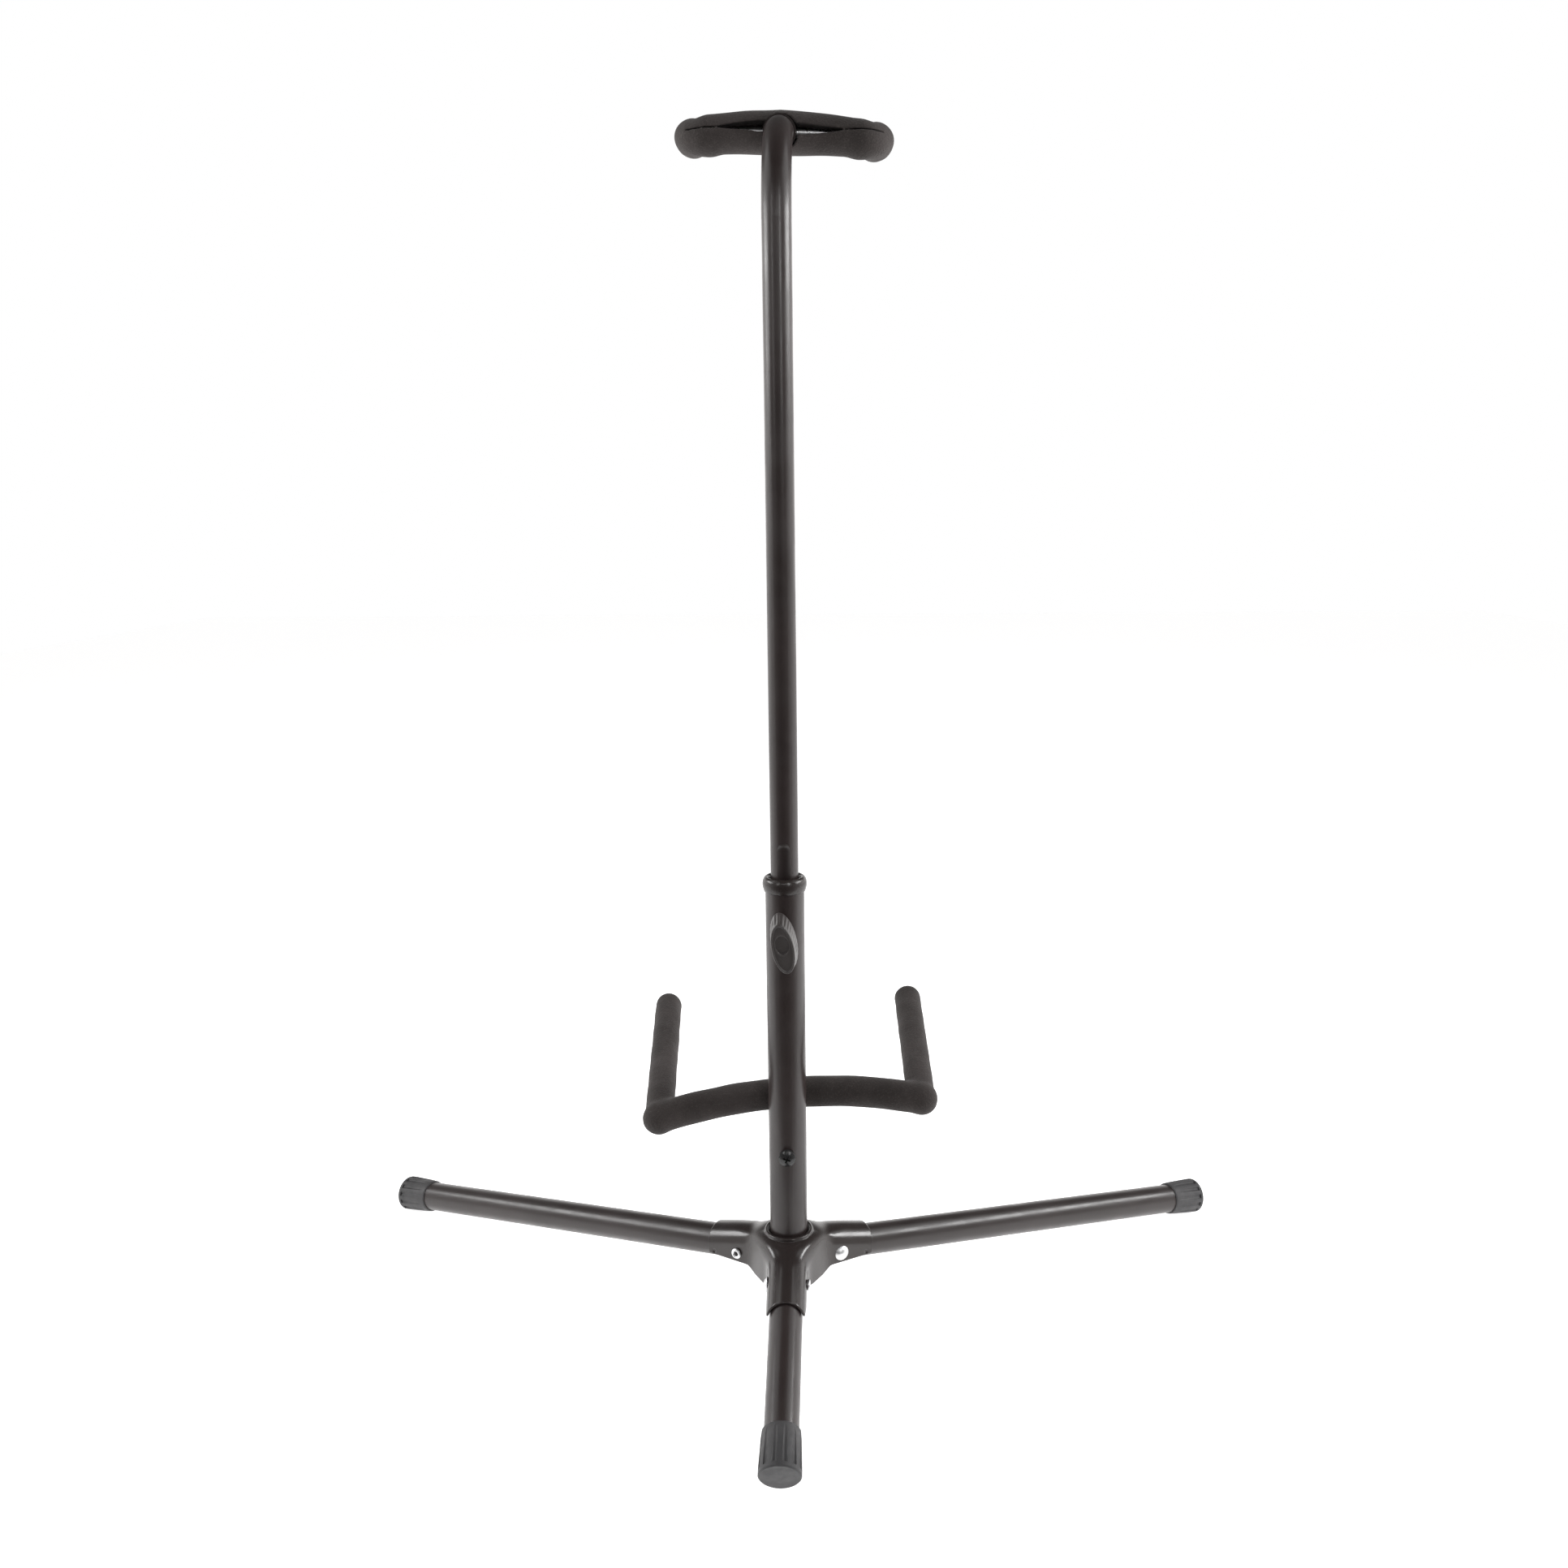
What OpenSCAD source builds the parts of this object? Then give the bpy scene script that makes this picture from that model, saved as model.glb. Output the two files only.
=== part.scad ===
// Folding guitar stand: tripod base, telescoping neck with a padded yoke, padded lower cradle.
// Origin: on the floor, straight below the axis of the post. +Z is up along the post.
// +Y points to the side the guitar hangs on, and the rear leg points to -Y.

/* [Base] */
// height of the leg pivots above the floor
pivot_z = 56; // [52:1:60]
// distance of the leg pivots from the post axis
pivot_r = 30; // [30:0.5:33]
// slope of the two front legs below horizontal, in degrees
side_slope = 8.7; // [8:0.1:11]
// slope of the rear leg below horizontal, in degrees
rear_slope = 23.9; // [22:0.1:27]
// outside diameter of the leg tubes
leg_d = 19; // [18:0.5:19.5]
// wall thickness of the leg tubes
leg_wall = 1.2; // [1:0.1:1.6]
// distance of the ends of the hub arms from the post axis
arm_reach = 53; // [50:1:58]
// sheet thickness of the pressed hub
sheet_t = 1.4; // [1.2:0.1:1.6]
// slope of the tops of the two front hub arms, in degrees
crown_slope = 15; // [12:0.5:17]
// radius of the round middle of the hub at its lower edge
core_r = 20.3; // [19:0.1:21.5]

/* [Feet] */
// outside diameter of the rubber feet
foot_d = 23; // [22:0.5:25]
// length of a rubber foot
foot_len = 25; // [22:1:32]
// number of shallow flutes round a foot
foot_flutes = 13; // [8:1:14]

/* [Post] */
// outside diameter of the lower post
post_d = 22.2; // [21.8:0.2:22.4]
// wall thickness of the lower post
post_wall = 1.2; // [1:0.1:1.3]
// height of the top of the plastic collar above the floor
collar_top = 293.5; // [285:0.5:315]
// height of the locking knob above the floor
knob_z = 259.6; // [256:0.1:262]

/* [Neck] */
// outside diameter of the sliding neck tube
neck_d = 15.8; // [15.4:0.1:16]
// wall thickness of the neck tube
neck_wall = 1; // [0.8:0.1:1.2]
// height at which the neck starts to bend forward
bend_z = 645.5; // [600:0.5:690]
// centre line radius of the forward bend
bend_r = 54; // [50:1:70]
// angle the neck is bent through, in degrees
bend_angle = 80; // [74:1:86]

/* [Yoke] */
// half the distance between the centre lines of the yoke arms
yoke_half = 51; // [44:0.5:56]
// reach of the yoke arms in front of the end of the neck tube
yoke_reach = 80; // [66:1:90]
// how far the yoke is turned round the post, in degrees
yoke_turn = 2.7; // [0:0.1:4]
// how far the yoke leans sideways, right end low, in degrees
yoke_roll = 1.5; // [0:0.1:3]
// how far each yoke arm leans outwards, in degrees
yoke_splay = 2.7; // [0:0.1:4]
// how far the yoke sits off centre in its socket, to the right
yoke_shift = 2.4; // [0:0.1:3]
// outside diameter of the yoke foam
yoke_foam_d = 20.4; // [19:0.2:21]

/* [Cradle] */
// height of the middle of the cradle bar
cradle_z = 154.5; // [150:0.5:160]
// half the distance between the centre lines of the cradle arms
cradle_half = 77.5; // [74:0.5:86]
// reach of the left cradle arm in front of the middle of the bar
cradle_reach_left = 113; // [100:1:130]
// reach of the right cradle arm in front of the middle of the bar
cradle_reach_right = 101; // [95:1:130]
// how far each cradle arm leans outwards, in degrees
cradle_splay = 1; // [0:0.5:3]
// rise of the cradle arms above horizontal, in degrees
cradle_rise = 12.5; // [8:0.5:18]
// how far the cradle leans sideways, left end low, in degrees
cradle_roll = 3.6; // [0:0.1:4]
// how far the cradle is turned round the post, in degrees
cradle_turn = 2.2; // [0:0.1:4]
// centre line radius of the bow in the cradle bar
cradle_bow = 200; // [150:5:240]
// how far the cradle sits off centre, to the right
cradle_shift = 1.5; // [0:0.1:3]
// outside diameter of the foam on the cradle bar
cradle_foam_d = 17.6; // [16.8:0.2:18.2]
// outside diameter of the foam on the cradle arms
cradle_arm_d = 16.4; // [15.4:0.2:16.6]

/* [Locking knob] */
// length of the oval knob at its back
knob_len = 34; // [30:0.5:36]
// width of the oval knob at its back
knob_w = 14.6; // [13:0.2:16]
// how far the knob stands out, back to face
knob_depth = 16; // [13:0.5:18]
// angle the knob is left at, top to the left, in degrees
knob_rest = 11; // [0:1:30]

/* [Hidden] */
$fn = 64;
e = 0.01;

// hub
ch_in = leg_d / 2 + 0.7;            // inside half width of a hub arm
ch_out = ch_in + sheet_t;           // outside half width of a hub arm
crown_up = 0.6;                     // centre of the round top above the pivot
leg_up = 0.8;                       // leg axis above the pivot
skirt_z = 50;                       // lower edge of the hub skirt
flat_z = pivot_z + crown_up + ch_out - 0.5;
plate_z = flat_z + 3.9;             // raised middle of the hub
core_z = 47.6;                      // lower edge of the round middle
// height of the centre of a front arm's round top, above the post axis
crown_z0 = pivot_z - (arm_reach - pivot_r) * tan(side_slope) + 0.4 + arm_reach * tan(crown_slope);
rivet_r = 2.4;
AZ_LEFT = 150;
AZ_RIGHT = 30;
AZ_REAR = -90;

// length of a leg from its pivot to the outer end of its foot, resting on the floor
function leg_len(s) = (pivot_z + (leg_up - foot_d / 2) * cos(s)) / sin(s);
side_len = leg_len(side_slope);
rear_len = leg_len(rear_slope);

// post and neck
collar_bore = neck_d / 2 + 0.08;
post_in = post_d / 2 - post_wall;
post_base = 52;
post_top = collar_top - 5;
neck_base = 184;
groove_r = 6;
groove_y = neck_d / 2 - 2.2 + groove_r;
groove_top = 309.5;
screw_z = cradle_z - 28;
M6 = 3;

// yoke
yoke_bar = 5;                       // bar centre in front of the tube end
yoke_bend = 9;
rod_r = 3;
neck_tail = 7;                      // straight length after the bend
neck_end = [0, bend_r * (1 - cos(bend_angle)) + neck_tail * sin(bend_angle),
            bend_z + bend_r * sin(bend_angle) + neck_tail * cos(bend_angle)];

// cradle
cradle_y = post_d / 2 + 5.9;
cradle_bend = 5;
corner_a = asin(cradle_half / cradle_bow);
corner_y = cradle_bow * (cos(corner_a) - 1);
bow_a = cradle_splay + asin((cradle_half * cos(cradle_splay)
        - (cradle_bow + corner_y) * sin(cradle_splay) - cradle_bend) / (cradle_bow + cradle_bend));
bend_x = (cradle_bow + cradle_bend) * sin(bow_a);
bend_y = cradle_bow * (cos(bow_a) - 1) + cradle_bend * cos(bow_a);
sleeve_left = asin(12.8 / cradle_bow);   // where the foam sleeves begin on the bar
sleeve_right = asin(10.2 / cradle_bow);
lap = 0.4;                          // overlap of the pieces of a swept bar

// knob
knob_y = -(post_d / 2 + 4.2);       // back face of the knob
face_y = knob_y - knob_depth;

// ---------- shared shapes ----------

// puts a shape drawn along +X on the pivot of one leg, at that leg's slope
module at_arm(az, slope) {
    rotate([0, 0, az])
        translate([pivot_r, 0, pivot_z])
            rotate([0, slope, 0])
                children();
}

// cylinder from x = a to x = b
module rod_x(a, b, r) {
    translate([a, 0, 0])
        rotate([0, 90, 0])
            cylinder(h = b - a, r = r);
}

// cylinder from y = a to y = b
module rod_y(a, b, r) {
    translate([0, a, 0])
        rotate([-90, 0, 0])
            cylinder(h = b - a, r = r);
}

// straight bar along +Z with a round top end
module round_end(h, r) {
    rotate_extrude()
        intersection() {
            union() {
                square([r, h - r]);
                translate([0, h - r])
                    circle(r = r);
            }
            square([r + 1, h + 1]);
        }
}

// a piece of a ring lying in the XY plane, centre line radius big, from angle a to b
module ring_piece(big, r, a, b) {
    rotate([0, 0, a])
        rotate_extrude(angle = b - a)
            translate([big, 0])
                circle(r = r);
}

// pointed oval with blunted tips, half length hl along Y and half width hw along X
module oval_2d(hl, hw) {
    big = (hl * hl + hw * hw) / (2 * hw);
    intersection() {
        translate([big - hw, 0])
            circle(r = big);
        translate([hw - big, 0])
            circle(r = big);
        circle(r = hl - 0.5);
    }
}

// ---------- hub ----------

// one arm as a solid: round top falling outwards at a slope, flat sides, grown inward by t;
// z0 is the height of the centre of its round top above the post axis
module arm_solid(az, slope, z0, t) {
    w = ch_out - t;
    over = t > 0 ? 2 : 0;
    rotate([0, 0, az])
        intersection() {
            translate([0, 0, z0])
                rotate([0, slope, 0])
                    union() {
                        rod_x(4, 80, w);
                        translate([4, -w, -60])
                            cube([76, 2 * w, 60]);
                    }
            translate([7, -30, skirt_z - (t > 0 ? 20 : 0)])
                cube([arm_reach - 7 + over, 60, 80]);
        }
}

// round middle of the hub, a little wider at its lower edge, with a sloping shoulder
module core_solid(t) {
    low = core_z - (t > 0 ? 20 : 0);
    rotate_extrude()
        polygon([[0, low], [core_r - t, low], [core_r - t, core_z], [core_r - 2.6 - t, plate_z - t - 6],
                 [core_r - 4.2 - t, plate_z - t - 2.2], [core_r - 6.4 - t, plate_z - t + 0.1],
                 [0, plate_z - t + 0.1]]);
}

module hub_solid(t) {
    core_solid(t);
    intersection() {
        union() {
            arm_solid(AZ_LEFT, crown_slope, crown_z0, t);
            arm_solid(AZ_RIGHT, crown_slope, crown_z0, t);
            arm_solid(AZ_REAR, rear_slope, pivot_z + crown_up + pivot_r * tan(rear_slope), t);
        }
        translate([-90, -90, skirt_z - 30])
            cube([180, 180, plate_z - t - skirt_z + 30]);
    }
}

module neck_ring_2d() {
    polygon([[post_d / 2 + 0.05, plate_z - 2], [15.2, plate_z - 2], [14.9, plate_z + 0.3],
             [14.3, plate_z + 2.2], [13.9, plate_z + 3.1], [13.2, plate_z + 3.5],
             [12.4, plate_z + 3.2], [11.8, plate_z + 2.4], [11.6, plate_z + 0.8],
             [post_d / 2 + 0.05, plate_z]]);
}

module hub() {
    color([0.09, 0.085, 0.08])
    difference() {
        union() {
            difference() {
                hub_solid(0);
                hub_solid(sheet_t);
            }
            rotate_extrude()
                neck_ring_2d();
        }
        translate([0, 0, 40])
            cylinder(h = 60, r = post_d / 2 + 0.05);
        for (a = [[AZ_LEFT, side_slope], [AZ_RIGHT, side_slope], [AZ_REAR, rear_slope]])
            at_arm(a[0], a[1]) {
                rod_y(-20, 20, rivet_r + 0.02);
                // pressed dimples near the end of each arm
                for (side = [-1, 1])
                    translate([17.5, side * (ch_out + 0.9), -1.2])
                        sphere(r = 1.5);
            }
    }
}

// ---------- pivots, legs and feet ----------

module rivet(az, slope) {
    head_r = 4.5;
    head_h = 2.2;
    ball = (head_r * head_r + head_h * head_h) / (2 * head_h);
    color([0.75, 0.76, 0.78])
    at_arm(az, slope)
        difference() {
            union() {
                rod_y(-ch_out - 0.1, ch_out + 0.95, rivet_r);
                translate([0, -ch_out - 0.05, 0])
                    rotate([90, 0, 0])
                        difference() {
                            translate([0, 0, head_h - ball])
                                sphere(r = ball);
                            translate([-10, -10, -20])
                                cube([20, 20, 20]);
                        }
                translate([0, ch_out + 0.95, 0])
                    rotate([-90, 0, 0])
                        rotate_extrude()
                            translate([2.3, 0])
                                circle(r = 0.95);
            }
            // the hollow that the far end is rolled out from
            rod_y(ch_out - 4, ch_out + 5, 1.45);
        }
}

module pivot_rivet_left() {
    rivet(AZ_LEFT, side_slope);
}

module pivot_rivet_right() {
    rivet(AZ_RIGHT, side_slope);
}

module pivot_rivet_rear() {
    rivet(AZ_REAR, rear_slope);
}

module leg(az, slope, len) {
    color([0.1, 0.095, 0.09])
    at_arm(az, slope)
        difference() {
            union() {
                translate([0, 0, leg_up])
                    rod_x(0, len - 3, leg_d / 2);
                // the inner end is rounded so that it can swing under the hub's top
                intersection() {
                    translate([0, 0, leg_up])
                        rod_x(-11, 1, leg_d / 2);
                    sphere(r = ch_in + 0.05);
                }
            }
            translate([0, 0, leg_up])
                rod_x(-20, len, leg_d / 2 - leg_wall);
            rod_y(-20, 20, rivet_r + 0.05);
        }
}

module leg_left() {
    leg(AZ_LEFT, side_slope, side_len);
}

module leg_right() {
    leg(AZ_RIGHT, side_slope, side_len);
}

module leg_rear() {
    leg(AZ_REAR, rear_slope, rear_len);
}

module foot(az, slope, len) {
    r = foot_d / 2;
    color([0.2, 0.2, 0.2])
    at_arm(az, slope)
        translate([len - foot_len, 0, leg_up])
            difference() {
                rotate([0, 90, 0])
                    rotate_extrude()
                        difference() {
                            polygon([[0, 0], [r - 1.5, 0], [r - 1, 0.6], [r - 0.6, 5],
                                     [r, foot_len - 4], [r, foot_len - 0.7],
                                     [r - 0.7, foot_len], [0, foot_len]]);
                            translate([-1, -1])
                                square([leg_d / 2 + 1.02, foot_len - 2]);
                        }
                for (k = [0 : foot_flutes - 1])
                    rotate([(k + 0.5) * 360 / foot_flutes, 0, 0])
                        translate([0, 0, r + 0.75])
                            rod_x(2.4, foot_len - 2.6, 1.7);
            }
}

module foot_left() {
    foot(AZ_LEFT, side_slope, side_len);
}

module foot_right() {
    foot(AZ_RIGHT, side_slope, side_len);
}

module foot_rear() {
    foot(AZ_REAR, rear_slope, rear_len);
}

// ---------- post ----------

module lower_post() {
    color([0.1, 0.095, 0.09])
    difference() {
        translate([0, 0, post_base])
            cylinder(h = post_top - post_base, r = post_d / 2);
        translate([0, 0, post_base - 1])
            cylinder(h = post_top - post_base + 2, r = post_in);
        translate([0, 0, screw_z])
            rod_y(-20, 20, M6 + 0.2);
        translate([0, 0, knob_z])
            rod_y(-20, 0, M6 + 0.3);
    }
}

// plastic bush in the mouth of the post, with a rolled lip
module post_collar() {
    top = collar_top;
    color([0.06, 0.058, 0.055])
    rotate_extrude()
        difference() {
            union() {
                // sleeve inside the post
                translate([collar_bore, top - 24])
                    square([post_in - 0.03 - collar_bore, 20]);
                // skirt resting on the rim of the post
                translate([collar_bore, post_top + 0.02])
                    square([post_d / 2 - collar_bore, 3]);
                translate([post_d / 2 - 0.4, post_top - 3.6])
                    square([0.4 + 0.55, 5]);
                // lip
                translate([post_d / 2 - 1, top - 1.7])
                    circle(r = 1.7);
                translate([post_d / 2 - 0.35, top - 5.4])
                    circle(r = 2);
                translate([post_d / 2 - 2.7, top - 5.6])
                    square([3.95, 4]);
            }
            // funnel mouth
            polygon([[0, top - 5], [collar_bore, top - 5], [post_d / 2 - 2.3, top - 1.6],
                     [post_d / 2 - 2.6, top + 1], [0, top + 1]]);
            // room for the wall of the post
            translate([post_in - 0.02, post_top - 30])
                square([post_wall + 0.06, 30.03]);
        }
}

// ---------- neck and yoke ----------

// slot pressed along the back of the neck tube, grown by t
module groove(t) {
    translate([0, -groove_y, neck_base - 20])
        round_end(groove_top - neck_base + 20 + groove_r + t, groove_r + t);
}

// the bent neck as a solid bar of radius r, run on by "over" at its top end
module neck_bar(r, from, over) {
    translate([0, 0, from])
        cylinder(h = bend_z - from + lap, r = r);
    translate([0, bend_r, bend_z])
        rotate([0, -90, 0])
            rotate([0, 0, -90])
                ring_piece(bend_r, r + 0.04, 0, bend_angle);
    at_yoke()
        rod_y(-neck_tail - lap, over, r);
}

module neck_tube() {
    ri = neck_d / 2 - neck_wall;
    color([0.1, 0.095, 0.09])
    difference() {
        neck_bar(neck_d / 2, neck_base, 0);
        groove(0);
        difference() {
            neck_bar(ri, neck_base - 1, 1);
            groove(neck_wall);
        }
    }
}

// local frame of the yoke: +Y runs on from the end of the neck tube
module at_yoke() {
    translate(neck_end)
        rotate([90 - bend_angle, 0, 0])
            children();
}

// turns and shifts the yoke in its socket; the bar runs along X through the middle
module at_bar() {
    translate([0, yoke_bar, 0])
        rotate([0, yoke_roll, yoke_turn])
            translate([yoke_shift, 0, 0])
                children();
}

// both rod bends and arms of the yoke, swept with radius r, out to reach past the bar
module yoke_rod_bar(r, reach) {
    x1 = yoke_half - yoke_bend * (1 - sin(yoke_splay)) / cos(yoke_splay);
    rod_x(-x1 - lap, x1 + lap, r);
    for (side = [0, 1])
        mirror([side, 0, 0])
            translate([x1, yoke_bend, 0]) {
                ring_piece(yoke_bend, r + 0.02, -90, -yoke_splay);
                rotate([0, 0, -yoke_splay])
                    translate([yoke_bend, -lap, 0])
                        rotate([-90, 0, 0])
                            round_end(reach - yoke_bend + lap, r);
            }
}

// outer shape of the foam: a bar with ball corners and round-ended arms
module yoke_foam_bar(r, reach) {
    rod_x(-yoke_half, yoke_half, r);
    for (side = [0, 1])
        mirror([side, 0, 0])
            translate([yoke_half, 0, 0]) {
                sphere(r = r + 0.03);
                rotate([0, 0, -yoke_splay])
                    rotate([-90, 0, 0])
                        round_end(reach, r);
            }
}

// boss on the end of the neck tube that the yoke rod passes through
module yoke_socket() {
    color([0.09, 0.085, 0.08])
    at_yoke()
        difference() {
            union() {
                rod_y(-6, 8.6, 9.1);
                rod_y(8.5, 9.6, 8.3);
            }
            rod_y(-7, 0.05, neck_d / 2 + 0.05);
            at_bar()
                rod_x(-24, 24, rod_r + 0.02);
        }
}

module yoke_rod() {
    color([0.1, 0.095, 0.09])
    at_yoke()
        at_bar()
            yoke_rod_bar(rod_r, yoke_reach - yoke_bar - 8);
}

module yoke_foam() {
    r = yoke_foam_d / 2;
    color([0.13, 0.125, 0.12])
    at_yoke()
        difference() {
            union() {
                at_bar()
                    yoke_foam_bar(r, yoke_reach - yoke_bar);
                // the sleeve is stretched over the boss in the middle
                for (side = [0, 1])
                    translate([0, yoke_bar, 0])
                        rotate([0, yoke_roll, yoke_turn])
                            mirror([side, 0, 0])
                                rotate([0, 90, 0])
                                    cylinder(h = 34, r1 = r + 1.5, r2 = r - 0.05);
            }
            at_bar()
                yoke_rod_bar(rod_r + 0.1, yoke_reach - yoke_bar - 7.9);
            rod_y(-20, 9.8, 9.3);
        }
}

// ---------- cradle ----------

module at_cradle() {
    rotate([0, 0, cradle_turn])
        translate([cradle_shift, cradle_y, cradle_z])
            rotate([0, -cradle_roll, 0])
                rotate([cradle_rise, 0, 0])
                    children();
}

// the bowed bar, swept with radius r, between two bow angles
module cradle_bow_bar(r, from, to) {
    translate([0, -cradle_bow, 0])
        ring_piece(cradle_bow, r, 90 - to, 90 - from);
}

// right-hand bend and arm of the cradle rod, swept with radius r to y = reach
module cradle_arm(r, reach) {
    translate([bend_x, bend_y, 0]) {
        ring_piece(cradle_bend, r + 0.02, -90 - bow_a, -cradle_splay);
        rotate([0, 0, -cradle_splay])
            translate([cradle_bend, -lap, 0])
                rotate([-90, 0, 0])
                    round_end(reach - bend_y + lap, r);
    }
}

// angle the bowed bar runs on by, into the corner
lap_a = lap / cradle_bow * 57.3;

// saddle in front of the post that carries the cradle rod
module cradle_plate() {
    r0 = post_d / 2 + 0.05;
    r1 = r0 + 2.5;
    color([0.09, 0.085, 0.08])
    difference() {
        union() {
            intersection() {
                difference() {
                    translate([0, 0, screw_z - 13])
                        cylinder(h = 49, r = r1);
                    translate([0, 0, screw_z - 14])
                        cylinder(h = 51, r = r0);
                }
                translate([-9.6, 2, screw_z - 20])
                    cube([19.2, 20, 60]);
            }
            // welded seat under and behind the rod
            intersection() {
                translate([-8, r0 + 0.5, cradle_z - 5.5])
                    cube([16, 5.6, 11]);
                difference() {
                    translate([0, 0, cradle_z - 10])
                        cylinder(h = 20, r = 30);
                    translate([0, 0, cradle_z - 11])
                        cylinder(h = 22, r = r0);
                }
            }
        }
        translate([0, 0, screw_z])
            rod_y(0, 30, M6 + 0.2);
        at_cradle()
            translate([0, -cradle_bow, 0])
                ring_piece(cradle_bow, rod_r + 0.05, 84, 96);
    }
}

module cradle_rod() {
    color([0.1, 0.095, 0.09])
    at_cradle() {
        cradle_bow_bar(rod_r, -bow_a - lap_a, bow_a + lap_a);
        cradle_arm(rod_r, cradle_reach_right - 7);
        mirror([1, 0, 0])
            cradle_arm(rod_r, cradle_reach_left - 7);
    }
}

module cradle_screw() {
    y0 = -post_d / 2 - 0.1;
    color([0.05, 0.05, 0.05])
    translate([0, 0, screw_z])
        difference() {
            union() {
                rod_y(y0, post_d / 2 + 9, M6 - 0.02);
                translate([0, y0, 0])
                    rotate([90, 0, 0])
                        intersection() {
                            cylinder(h = 3.8, r = 4.9);
                            translate([0, 0, -4.2])
                                sphere(r = 8);
                        }
            }
            // cross recess
            for (a = [20, 110])
                rotate([0, a, 0])
                    translate([-2.3, y0 - 5, -0.5])
                        cube([4.6, 3.4, 1]);
        }
}

module cradle_nut() {
    color([0.5, 0.5, 0.51])
    translate([0, post_d / 2 + 2.65, screw_z])
        rotate([-90, 0, 0])
            difference() {
                cylinder(h = 5, r = 5.6, $fn = 6);
                translate([0, 0, -1])
                    cylinder(h = 7, r = M6 + 0.02);
            }
}

module cradle_sleeve(start_a, reach) {
    difference() {
        union() {
            cradle_bow_bar(cradle_foam_d / 2, start_a, corner_a);
            translate([cradle_half, corner_y, 0]) {
                sphere(r = cradle_foam_d / 2 + 0.03);
                rotate([0, 0, -cradle_splay])
                    rotate([-90, 0, 0])
                        round_end(reach - corner_y, cradle_arm_d / 2);
            }
        }
        union() {
            cradle_bow_bar(rod_r + 0.1, 0, bow_a + lap_a);
            cradle_arm(rod_r + 0.1, reach - 6.9);
        }
    }
}

module cradle_foam_left() {
    color([0.13, 0.125, 0.12])
    at_cradle()
        mirror([1, 0, 0])
            cradle_sleeve(sleeve_left, cradle_reach_left);
}

module cradle_foam_right() {
    color([0.13, 0.125, 0.12])
    at_cradle()
        cradle_sleeve(sleeve_right, cradle_reach_right);
}

// ---------- locking knob ----------

// threaded boss on the back of the post
module lock_nut() {
    color([0.1, 0.095, 0.09])
    difference() {
        translate([0, 0, knob_z])
            rod_y(-post_d / 2 - 3.4, -8, 5.6);
        cylinder(h = 400, r = post_d / 2 + 0.02);
        translate([0, 0, knob_z])
            rod_y(-30, 0, M6 + 0.05);
    }
}

module lock_stud() {
    color([0.6, 0.6, 0.62])
    translate([0, 0, knob_z]) {
        rod_y(knob_y - 9, -neck_d / 2 - 0.3, M6);
        rod_y(-neck_d / 2 - 0.31, -(groove_y - groove_r) - 0.55, 2);
    }
}

// oval, drafted, fluted along its edge; +Z is the length of the knob
module knob_frame() {
    translate([0, knob_y, knob_z])
        rotate([0, -knob_rest, 0])
            rotate([90, 0, 0])
                children();
}

module knob_grip() {
    hl = knob_len / 2;
    hw = knob_w / 2;
    side_r = 27;
    in = side_r - hw;
    color([0.17, 0.17, 0.17])
    knob_frame()
        difference() {
            intersection() {
                cylinder(h = knob_depth, r1 = hl, r2 = hl - 2.2);
                translate([in, 0, -0.5])
                    cylinder(h = knob_depth + 1, r = side_r - 0.3);
                translate([-in, 0, -0.5])
                    cylinder(h = knob_depth + 1, r = side_r - 0.3);
            }
            // flutes along the two long sides
            for (s = [-1, 1])
                translate([-s * in, 0, 0])
                    for (k = [-4 : 4])
                        rotate([0, 0, k * 6.2 + (s < 0 ? 180 : 0)])
                            translate([side_r - 0.1, 0, -1])
                                cylinder(h = knob_depth - 1.6, r = 0.75, $fn = 24);
            // one flute down the middle of each end
            for (s = [-1, 1])
                translate([0, s * (hl + 0.1), -1])
                    cylinder(h = knob_depth - 2.6, r = 0.8, $fn = 24);
            // pocket for the stud and for the inlay
            translate([0, 0, -1])
                cylinder(h = 10.1, r = M6 + 0.01);
            translate([0, 2.2, knob_depth - 1.4])
                linear_extrude(height = 3)
                    oval_2d(6.1, 4.1);
        }
}

// oval inlay set a little below the face of the knob
module knob_cap() {
    color([0.2, 0.2, 0.2])
    knob_frame()
        translate([0, 2.2, knob_depth - 1.39])
            linear_extrude(height = 0.8)
                oval_2d(6.05, 4.05);
}

hub();
pivot_rivet_left();
pivot_rivet_right();
pivot_rivet_rear();
leg_left();
leg_right();
leg_rear();
foot_left();
foot_right();
foot_rear();
lower_post();
post_collar();
neck_tube();
yoke_socket();
yoke_rod();
yoke_foam();
cradle_plate();
cradle_rod();
cradle_screw();
cradle_nut();
cradle_foam_left();
cradle_foam_right();
lock_nut();
lock_stud();
knob_grip();
knob_cap();
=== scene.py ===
"""Looks of the folding guitar stand: pressed-sheet hub, foam sleeves, knob, materials, light, camera.

Lengths inside the modelling functions are millimetres in the CAD's own frame; MM turns them into metres.
"""
import math

import bpy
import numpy as np
from mathutils import Matrix, Vector


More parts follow.
